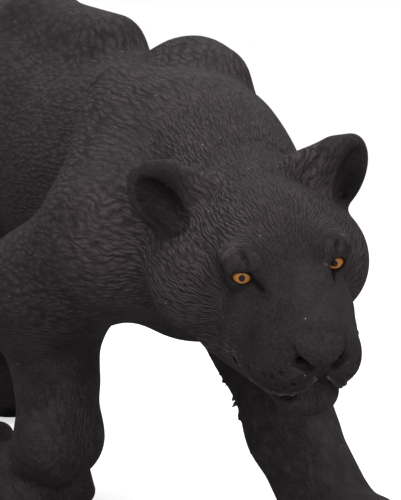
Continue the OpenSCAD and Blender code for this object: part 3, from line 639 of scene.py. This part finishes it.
# ---------------------------------------------------------------- the trunk's chamber and opening
def chamber_gap(p):
    """The lamp chamber: a prism with round long corners."""
    x, y, z = (p - [sum(CHAMBER_X) / 2, sum(CHAMBER_Y) / 2, LAMP_AXIS]).T
    half = (CHAMBER_Y[1] - CHAMBER_Y[0]) / 2, CHAMBER_HEIGHT / 2
    a = np.abs(y) - half[0] + CHAMBER_CORNER
    b = np.abs(z) - half[1] + CHAMBER_CORNER
    side = np.hypot(np.maximum(a, 0), np.maximum(b, 0)) + np.minimum(np.maximum(a, b), 0) - CHAMBER_CORNER
    return np.maximum(side, np.abs(x) - (CHAMBER_X[1] - CHAMBER_X[0]) / 2)


def opening_gap(p):
    """The opening through the flank on the wall side: a slot with round ends."""
    x, z = np.abs(p[:, 0] - OPENING_AT[0]), p[:, 2] - OPENING_AT[1]
    run = (OPENING_LENGTH - OPENING_HEIGHT) / 2
    return np.maximum(np.hypot(np.maximum(x - run, 0), z) - OPENING_HEIGHT / 2, -p[:, 1])


TAIL_CUT_ABOVE = 110.0


def hollow(p, d):
    """The trunk: set in, hollowed for the lamp, and ended where the tail begins."""
    d = np.maximum(d + INSET, -np.maximum(p[:, 0] - TAIL_JOINT[0], TAIL_CUT_ABOVE - p[:, 2]))
    return joined(joined(d, chamber_gap(p), -0.5), opening_gap(p), -5.0)


def lapped(axis, at, side):
    """Sets a casting in, and more so where it laps under the trunk past the joint."""
    return lambda p, d: d + INSET + LAP_INSET * ramp(side * (at - p[:, axis]), 0, LAP)


# ---------------------------------------------------------------- castings
PAWS = {"right_foreleg": (-63, RIGHT, 10), "left_foreleg": (68, LEFT_FORE - 1, 11),
        "right_hindleg": (HIP + 67, RIGHT, 10), "left_hindleg": (HIP - 32, LEFT - 8, 10)}
LEGS = {"right_foreleg": RIGHT_FORE, "left_foreleg": LEFT_REACH,
        "right_hindleg": RIGHT_HIND, "left_hindleg": LEFT_HIND}
JOINT_BLEND = 5.0


def note(piece, name, values):
    """Keeps one value, or one vector, per point for the material."""
    kind, key = ("FLOAT", "value") if np.ndim(values) == 1 else ("FLOAT_VECTOR", "vector")
    layer = piece.data.attributes.new(name, kind, "POINT")
    layer.data.foreach_set(key, np.asarray(values, np.float32).ravel())


def comb(piece, cuts):
    """Where the fur lies on a casting, how deep it is cut, its painted shade and highlights, and where its
    edges show rubbed paint and painted shade. Gives its points back.
    """
    points = np.empty(len(piece.data.vertices) * 3)
    piece.data.vertices.foreach_get("co", points)
    points = points.reshape(-1, 3) / MM - SHIFT
    depth, head = fur_depth(points)
    note(piece, "head_lie", np.stack([*head_lie(points), head], 1))
    note(piece, "body_lie", np.stack([*body_lie(points), depth], 1))
    # Painted shade in the face's hollows and a painted highlight on the lip edges, with the dark paint of the
    # lid rims and tear lines
    note(piece, "painted_light_and_paint", painted_light_and_lid_paint(points))
    # Where the edges' rubbed paint, painted highlight and painted shade apply: not beside the joints
    edge_wear_and_shade = np.ones(len(points))
    for axis, at in cuts:
        edge_wear_and_shade *= ramp(np.abs(points[:, axis] - at), JOINT_BLEND / 2, JOINT_BLEND)
    note(piece, "edge_wear_and_shade", edge_wear_and_shade)
    return points


def blend_joints(piece, points, masses, cuts):
    """Beside a joint both castings shade by the same smooth skin, so that it shows as a hairline."""
    mesh = piece.data
    normals = np.array([v.vector for v in mesh.vertex_normals])
    for axis, at in cuts:
        near = np.abs(points[:, axis] - at) < JOINT_BLEND
        weight = (1 - ramp(np.abs(points[near, axis] - at), 2, JOINT_BLEND))[:, None]
        normals[near] = normals[near] * (1 - weight) + gradient(masses, points[near]) * weight
    at_corner = normals[[loop.vertex_index for loop in mesh.loops]]
    for face in mesh.polygons:
        if len(face.vertices) > 4:
            at_corner[face.loop_start:face.loop_start + face.loop_total] = face.normal
    mesh.normals_split_custom_set(at_corner.tolist())


IRIS_UNDER, IRIS_BACK = 0.45, -0.1
IRIS_RINGS, IRIS_AROUND = 14, 48
UNPAINTED = 9.0


def irises():
    """The painted backs of the two glass eyes, domed as the glass is and just under it."""
    r, centre = EYE_R - IRIS_UNDER, EYE_DEPTH - EYE_R
    reach = math.asin(min(1, (EYE_D / 2 - IRIS_UNDER) / r))
    back_r = EYE_D / 2 * 0.95
    dome = [(centre + r * math.cos(reach * i / IRIS_RINGS), r * math.sin(reach * i / IRIS_RINGS))
            for i in range(IRIS_RINGS + 1)]
    points, faces, from_axis = [], [], []
    for s in SIDES:
        first = len(points)
        for ring, (out, wide) in enumerate(dome + [(IRIS_BACK, back_r)]):
            for j in range(IRIS_AROUND):
                turn = math.tau * j / IRIS_AROUND
                across, up = wide * math.cos(turn), wide * math.sin(turn)
                points.append(in_head(eye_at(s)) + eye_axes(s) @ np.array([out, across * s, up]))
                painted = ring <= IRIS_RINGS
                from_axis.append(math.hypot(across - PUPIL_SHIFT[s][0], up - PUPIL_SHIFT[s][1])
                                 if painted else UNPAINTED)
        for ring in range(IRIS_RINGS + 1):
            for j in range(IRIS_AROUND):
                a = first + ring * IRIS_AROUND + j
                b = first + ring * IRIS_AROUND + (j + 1) % IRIS_AROUND
                face = (a, b, b + IRIS_AROUND, a + IRIS_AROUND)
                faces.append(face if s < 0 else face[::-1])
        back = list(range(len(points) - IRIS_AROUND, len(points)))
        faces.append(back if s > 0 else back[::-1])
    piece = to_mesh("painted_irises", points, faces)
    note(piece, "from_axis", from_axis)
    piece.data.materials.append(IRIS)
    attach(piece, "figure")
    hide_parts("iris_discs")


def casting(name, masses, low, high, step, cuts, carve):
    """The skin of one casting inside a box. Its cuts are the flat ends there, each an axis and a place."""
    points, quads = net(masses, low, high, step, carve)
    piece = to_mesh(name + "_skin", points, quads.tolist())
    cap_cuts(piece, [(a, place([at] * 3)[a]) for a, at in cuts])
    piece.data.materials.append(RESIN)
    blend_joints(piece, comb(piece, cuts), masses, cuts)
    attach(piece, "figure")
    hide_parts(name)


# ---------------------------------------------------------------- materials
class Shade:
    """A material's nodes, linked as they are made. An input given a socket is linked, and else it is set."""

    def __init__(self, name):
        self.mat = bpy.data.materials.new(name)
        self.mat.use_nodes = True
        self.nodes, self.links = self.mat.node_tree.nodes, self.mat.node_tree.links
        self.shader = self.nodes["Principled BSDF"]
        self.out = self.nodes["Material Output"]

    def put(self, node, key, value):
        if isinstance(value, bpy.types.NodeSocket):
            self.links.new(value, node.inputs[key])
        else:
            node.inputs[key].default_value = value

    def node(self, kind, inputs=(), **settings):
        node = self.nodes.new("ShaderNode" + kind)
        for key, value in settings.items():
            setattr(node, key, value)
        for key, value in dict(inputs).items():
            self.put(node, key, value)
        return node

    def math(self, operation, a, b=0.0, c=0.0):
        return self.node("Math", {0: a, 1: b, 2: c}, operation=operation).outputs[0]

    def ramp(self, value, low, high, to_low=0.0, to_high=1.0):
        ins = {"Value": value, "From Min": low, "From Max": high, "To Min": to_low, "To Max": to_high}
        return self.node("MapRange", ins).outputs["Result"]

    def mix(self, factor, a, b):
        return self.node("Mix", {0: factor, 6: a, 7: b}, data_type="RGBA").outputs[2]

    def noise(self, size_mm, detail=2.0, vector=None):
        """Noise with features of about the size given, in the piece's own space."""
        vector = vector or self.node("TexCoord").outputs["Object"]
        ins = {"Vector": vector, "Scale": 1 / (size_mm * MM), "Detail": detail}
        return self.node("TexNoise", ins).outputs["Fac"]

    def bump(self, height, depth_mm):
        node = self.node("Bump", {"Height": height, "Distance": depth_mm * MM, "Strength": 1.0})
        self.put(self.shader, "Normal", node.outputs["Normal"])

    def set(self, **inputs):
        for key, value in inputs.items():
            self.put(self.shader, key.replace("_", " "), value)


def strokes(shade, lie, length, width):
    """Short combed ridges, staggered and tapered, by the run along the fur and the place across it in mm.
    Gives back their height and the third value that is kept with the lie."""
    parts = shade.node("SeparateXYZ", {0: lie})
    wander = shade.ramp(shade.noise(8, 2.0), 0.0, 1.0, -1.8, 1.8)
    along = shade.math("DIVIDE", parts.outputs[0], length)
    across = shade.math("DIVIDE", shade.math("ADD", parts.outputs[1], wander), width)
    at = shade.node("CombineXYZ", {0: along, 1: across}).outputs[0]
    cells = shade.node("TexVoronoi", {"Vector": at, "Scale": 1.0, "Randomness": 1.0},
                       voronoi_dimensions="2D", feature="F1")
    own = shade.node("SeparateColor", {0: cells.outputs["Color"]}).outputs[0]
    own = shade.ramp(own, 0.0, 1.0, 0.45, 1.15)
    fine = shade.node("TexNoise", {"Vector": at, "Scale": 2.2, "Detail": 2.0}).outputs["Fac"]
    ridge = shade.math("MULTIPLY", shade.ramp(cells.outputs["Distance"], 0.05, 0.7, 1.0, 0.0), own)
    return shade.math("ADD", ridge, shade.math("MULTIPLY", fine, 0.5)), parts.outputs[2]


def make_resin():
    """Cold-cast resin, painted charcoal: combed strokes, mottle and lumps, with painted highlight on the
    ridges and edges, painted shade in the grooves and hollows, and rubbed paint on the edges.
    """
    shade = Shade("black_resin")
    head_lie_at = shade.node("Attribute", attribute_name="head_lie").outputs["Vector"]
    body_lie_at = shade.node("Attribute", attribute_name="body_lie").outputs["Vector"]
    painted_light_and_paint = shade.node("Attribute", attribute_name="painted_light_and_paint").outputs["Fac"]
    on_head, head = strokes(shade, head_lie_at, 3.4, 0.98)
    on_body, depth = strokes(shade, body_lie_at, 4.4, 1.3)
    comb_height = shade.math("ADD", shade.math("MULTIPLY", on_head, head),
                             shade.math("MULTIPLY", on_body, shade.math("SUBTRACT", 1.0, head)))
    comb_height = shade.math("MULTIPLY", comb_height, depth)
    mottle = shade.noise(0.9, 4.0)
    lumps = shade.noise(7.0, 3.0)
    pores = shade.noise(0.45, 2.0)
    height = shade.math("MULTIPLY", pores, 0.10)
    height = shade.math("MULTIPLY_ADD", lumps, 0.9, height)
    height = shade.math("MULTIPLY_ADD", mottle, shade.ramp(depth, 0.0, 0.8, 0.14, 0.46), height)
    shade.bump(shade.math("MULTIPLY_ADD", comb_height, 1.25, height), 1.0)
    # Mottle, patches and a base level on smooth parts vary the paint's colour; the stroke ridges are made
    # lighter as painted highlight and the grooves between them darker as painted shade
    patch = shade.ramp(shade.noise(11.0, 3.0), 0.35, 0.65, -0.05, 0.05)
    smooth = shade.ramp(depth, 0.0, 0.5, 0.09, 0.0)
    dust_and_sheen = shade.math("MULTIPLY_ADD", comb_height, 0.72, shade.math("ADD", patch, smooth))
    dust_and_sheen = shade.ramp(shade.math("MULTIPLY_ADD", mottle, 0.6, dust_and_sheen), 0.28, 1.02)
    colour = shade.mix(dust_and_sheen, (0.011, 0.0080, 0.0093, 1), (0.074, 0.058, 0.067, 1))
    # Sharp edges are lighter, as rubbed paint and painted highlight, and hollows darker, as painted shade,
    # fading out beside the joints
    edge_wear_and_shade = shade.node("Attribute", attribute_name="edge_wear_and_shade").outputs["Fac"]
    sharp = shade.math("SUBTRACT", shade.node("NewGeometry").outputs["Pointiness"], 0.5)
    edge = shade.math("MULTIPLY_ADD", sharp, edge_wear_and_shade, 0.5)
    colour = shade.mix(shade.ramp(edge, 0.52, 0.62, 0.0, 0.55), colour, (0.11, 0.098, 0.104, 1))
    colour = shade.mix(shade.ramp(edge, 0.40, 0.49, 0.7, 0.0), colour, (0.008, 0.007, 0.007, 1))
    # The colour is darkened by painted shade in the face's hollows and by the lid rims' dark paint, and
    # lightened by a painted highlight on the lip edges
    colour_with_painted_light = shade.node("VectorMath", {0: colour, 3: painted_light_and_paint}, operation="SCALE").outputs[0]
    here = shade.node("TexCoord").outputs["Object"]
    specks = shade.node("TexVoronoi", {"Vector": here, "Scale": 1 / (6.0 * MM)}, feature="F1")
    fleck = shade.math("LESS_THAN", specks.outputs["Distance"], 0.030)
    shade.set(Base_Color=shade.mix(fleck, colour_with_painted_light, (0.42, 0.40, 0.40, 1)),
              Roughness=shade.ramp(mottle, 0.3, 0.7, 0.62, 0.84), Specular_IOR_Level=0.22)
    return shade.mat


def finish(name, colour, metallic, rough, grain_mm, depth_mm, brushed):
    """A plain finish: fine grain, stretched where it is brushed, with gloss and colour that vary a little."""
    shade = Shade(name)
    here = shade.node("TexCoord").outputs["Object"]
    at = shade.node("Mapping", {"Vector": here, "Scale": (1, brushed, brushed)})
    grain = shade.noise(grain_mm, 3.0, at.outputs[0])
    stain = shade.noise(grain_mm * 12, 2.0)
    dark = tuple(c * 0.8 for c in colour) + (1,)
    uneven = shade.math("ADD", grain, stain)
    shade.set(Base_Color=shade.mix(shade.ramp(stain, 0.35, 0.65), colour + (1,), dark), Metallic=metallic,
              Roughness=shade.ramp(uneven, 0.7, 1.3, rough * 0.8, min(1, rough * 1.25)))
    shade.bump(grain, depth_mm)
    return shade.mat


def clear(name, tint):
    """Thin clear glass: it lets light straight through and shines at its edge."""
    shade = Shade(name)
    through = shade.node("BsdfTransparent", {"Color": tint + (1,)})
    wave = shade.noise(3.0, 1.0)
    normal = shade.node("Bump", {"Height": wave, "Distance": 0.02 * MM}).outputs["Normal"]
    rough = shade.ramp(wave, 0.3, 0.7, 0.02, 0.06)
    gloss = shade.node("BsdfGlossy", {"Roughness": rough, "Normal": normal})
    edge = shade.node("Fresnel", {"IOR": 1.3, "Normal": normal}).outputs[0]
    share = shade.math("MULTIPLY", edge, 0.35)
    both = shade.node("MixShader", {0: share, 1: through.outputs[0], 2: gloss.outputs[0]})
    shade.nodes.remove(shade.shader)
    shade.links.new(both.outputs[0], shade.out.inputs["Surface"])
    return shade.mat


def make_iris():
    """Amber with a round pupil and a dark ring, by the distance from the eye's axis in mm."""
    shade = Shade("amber_iris")
    r = shade.node("Attribute", attribute_name="from_axis").outputs["Fac"]
    ring = shade.mix(shade.ramp(r, 1.2, 2.9), (0.44, 0.205, 0.060, 1), (0.38, 0.130, 0.020, 1))
    ring = shade.mix(shade.ramp(shade.noise(0.35, 3.0), 0.35, 0.7, 0.0, 0.5), ring, (0.30, 0.11, 0.015, 1))
    pupil = shade.mix(shade.ramp(r, 0.95, 1.15), (0.002, 0.002, 0.006, 1), ring)
    rim = shade.mix(shade.ramp(r, 3.0, 3.5), pupil, (0.01, 0.004, 0.001, 1))
    shade.set(Base_Color=rim, Roughness=0.35)
    shade.bump(shade.noise(0.3, 2.0), 0.02)
    return shade.mat


# By slot: colour, metallic, roughness, grain in mm, its depth in mm, and how far it is stretched by brushing
FINISHES = {
    "zinc_steel": ((0.55, 0.55, 0.54), 1.0, 0.34, 0.5, 0.02, 6.0),
    "brass": ((0.72, 0.50, 0.20), 1.0, 0.28, 0.6, 0.015, 1.0),
    "nickel_brass": ((0.72, 0.68, 0.58), 1.0, 0.2, 0.8, 0.01, 1.0),
    "tin": ((0.60, 0.60, 0.60), 1.0, 0.45, 0.5, 0.03, 1.0),
    "tungsten": ((0.20, 0.19, 0.18), 1.0, 0.4, 0.1, 0.005, 1.0),
    "bakelite": ((0.030, 0.015, 0.009), 0.0, 0.3, 2.0, 0.02, 1.0),
    "black_glass": ((0.010, 0.010, 0.012), 0.0, 0.12, 1.5, 0.01, 1.0),
    "black_plastic": ((0.020, 0.020, 0.020), 0.0, 0.5, 0.4, 0.03, 1.0),
    "felt": ((0.022, 0.022, 0.024), 0.0, 0.95, 0.25, 0.15, 1.0),
}


def dress():
    """Gives every CAD node that stays in view the finish of its slot."""
    made = {name: finish(name, *look) for name, look in FINISHES.items()}
    made["eye_glass"] = clear("eye_glass", (1.0, 0.97, 0.90))
    made["bulb_glass"] = clear("bulb_glass", (0.97, 0.97, 0.96))
    made["amber_iris"] = IRIS
    made["black_resin"] = RESIN
    for part in frame["record"]["subparts"]:
        mesh = frame["nodes"][part["node"]].data
        mesh.materials.clear()
        mesh.materials.append(made[part["material_slot"]])


# ---------------------------------------------------------------- stage, light and camera
FLOOR_HALF = 6.0


def make_floor():
    """A pale floor that keeps the shadow. Only the camera sees it near white: it throws little light back."""
    mesh = bpy.data.meshes.new("floor")
    f = FLOOR_HALF
    mesh.from_pydata([(-f, -f, 0), (f, -f, 0), (f, f, 0), (-f, f, 0)], [], [(0, 1, 2, 3)])
    floor = bpy.data.objects.new("floor", mesh)
    bpy.context.scene.collection.objects.link(floor)
    shade = Shade("floor_white")
    seen = shade.node("LightPath").outputs["Is Camera Ray"]
    shade.set(Base_Color=shade.mix(seen, (0.35, 0.35, 0.35, 1), (0.92, 0.92, 0.92, 1)), Roughness=0.9,
              Specular_IOR_Level=0.0, Emission_Color=(1, 1, 1, 1),
              Emission_Strength=shade.math("MULTIPLY", seen, 0.6))
    mesh.materials.append(shade.mat)


def make_world():
    """Grey room light, with a white backdrop where the camera or a glass looks at it."""
    world = bpy.data.worlds.new("studio")
    world.use_nodes = True
    bpy.context.scene.world = world
    nodes, links = world.node_tree.nodes, world.node_tree.links
    back = nodes["Background"]
    path = nodes.new("ShaderNodeLightPath")
    seen = nodes.new("ShaderNodeMath")
    seen.operation = "MAXIMUM"
    links.new(path.outputs["Is Camera Ray"], seen.inputs[0])
    links.new(path.outputs["Is Transmission Ray"], seen.inputs[1])
    level = nodes.new("ShaderNodeMapRange")
    level.inputs["To Min"].default_value = 0.46
    level.inputs["To Max"].default_value = 1.0
    links.new(seen.outputs[0], level.inputs["Value"])
    links.new(level.outputs["Result"], back.inputs["Strength"])
    back.inputs["Color"].default_value = (1, 1, 1, 1)


def area_lamp(name, at, toward, size, power, shines=True):
    """A round soft lamp, in metres and watts. One that doesn't shine leaves no reflection in the eyes."""
    light = bpy.data.lights.new(name, "AREA")
    light.shape = "DISK"
    light.size = size
    light.energy = power
    lamp = bpy.data.objects.new(name, light)
    bpy.context.scene.collection.objects.link(lamp)
    lamp.location = at
    lamp.visible_glossy = shines
    lamp.rotation_mode = "QUATERNION"
    lamp.rotation_quaternion = (Vector(toward) - Vector(at)).to_track_quat("-Z", "Y")


AZIMUTH, ELEVATION, DISTANCE = 60.0, 6.0, 528.0
ASIDE, RAISED = 20.16, 2.26
SENSOR, LENS = 36.0, 117.864


def make_camera():
    """Looks from ahead of the right shoulder, past the head's middle by the offsets aside and up, in mm."""
    azimuth, elevation = math.radians(AZIMUTH), math.radians(ELEVATION)
    back = Vector((math.sin(azimuth) * math.cos(elevation), -math.cos(azimuth) * math.cos(elevation),
                   math.sin(elevation)))
    turn = (-back).to_track_quat("-Z", "Y")
    right, up = turn @ Vector((1, 0, 0)), turn @ Vector((0, 1, 0))
    data = bpy.data.cameras.new("camera")
    data.sensor_fit = "VERTICAL"
    data.sensor_height = SENSOR
    data.lens = LENS
    data.clip_start = 0.02
    camera = bpy.data.objects.new("camera", data)
    bpy.context.scene.collection.objects.link(camera)
    camera.location = Vector(place(Vector(HEAD_AT) + back * DISTANCE - right * ASIDE + up * RAISED))
    camera.rotation_mode = "QUATERNION"
    camera.rotation_quaternion = turn
    bpy.context.scene.camera = camera


# ---------------------------------------------------------------- the making
RESIN, IRIS = make_resin(), make_iris()
dress()

FIGURE = (TRUNK + RUMP_POINT + NECK + RIGHT_SHOULDER + LEFT_SHOULDER + RIGHT_THIGH + LEFT_THIGH
          + RIGHT_FORE + LEFT_REACH + RIGHT_HIND + LEFT_HIND + fringe() + skull())
BODY = FIGURE + TAIL[:TAIL_ROOT_BONES]
PAST_TRUNK = RIB * 2 + 2


def room(masses):
    """The corners of a box round some masses, with a little to spare."""
    return np.min([m.low for m in masses], 0) - 4, np.max([m.high for m in masses], 0) + 4


casting("trunk_casting", BODY,
        (TAIL_JOINT[0] - 30, -PAST_TRUNK, LEG_JOINT), (NECK_JOINT, PAST_TRUNK, RUMP + 22),
        1.42, [(0, NECK_JOINT), (2, LEG_JOINT)], hollow)
casting("head_casting", FIGURE + face(),
        (NECK_JOINT - LAP, -60, 44), (HEAD_AT[0] + 2.2 * UNIT, 44, HEAD_AT[2] + 72),
        0.52, [(0, NECK_JOINT - LAP)], open_lids)
irises()
for leg, masses in LEGS.items():
    foot = paw(PAWS[leg], FORE_PAW if "fore" in leg else HIND_PAW)
    low, high = room(masses + foot)
    casting(leg, BODY + foot, (low[0], low[1], SOLE), (high[0], high[1], LEG_JOINT + LAP),
            0.8, [(2, LEG_JOINT + LAP), (2, SOLE)], lapped(2, LEG_JOINT, -1))
low, high = room(TAIL)
casting("tail_casting", BODY + TAIL[TAIL_ROOT_BONES:], low, (TAIL_JOINT[0] + LAP, high[1], high[2] + 8),
        1.2, [(0, TAIL_JOINT[0] + LAP)], lapped(0, TAIL_JOINT[0], -1))

make_floor()
make_world()
area_lamp("key", (0.60, -0.70, 0.95), (0.1, 0, 0.1), 0.6, 3.7)
area_lamp("fill", (1.0, -0.25, 0.22), (0.2, 0, 0.09), 0.6, 3.9, False)
area_lamp("top", (-0.1, 0.25, 1.2), (0, 0, 0.1), 0.9, 7)
make_camera()
bpy.context.scene.view_settings.view_transform = "Standard"
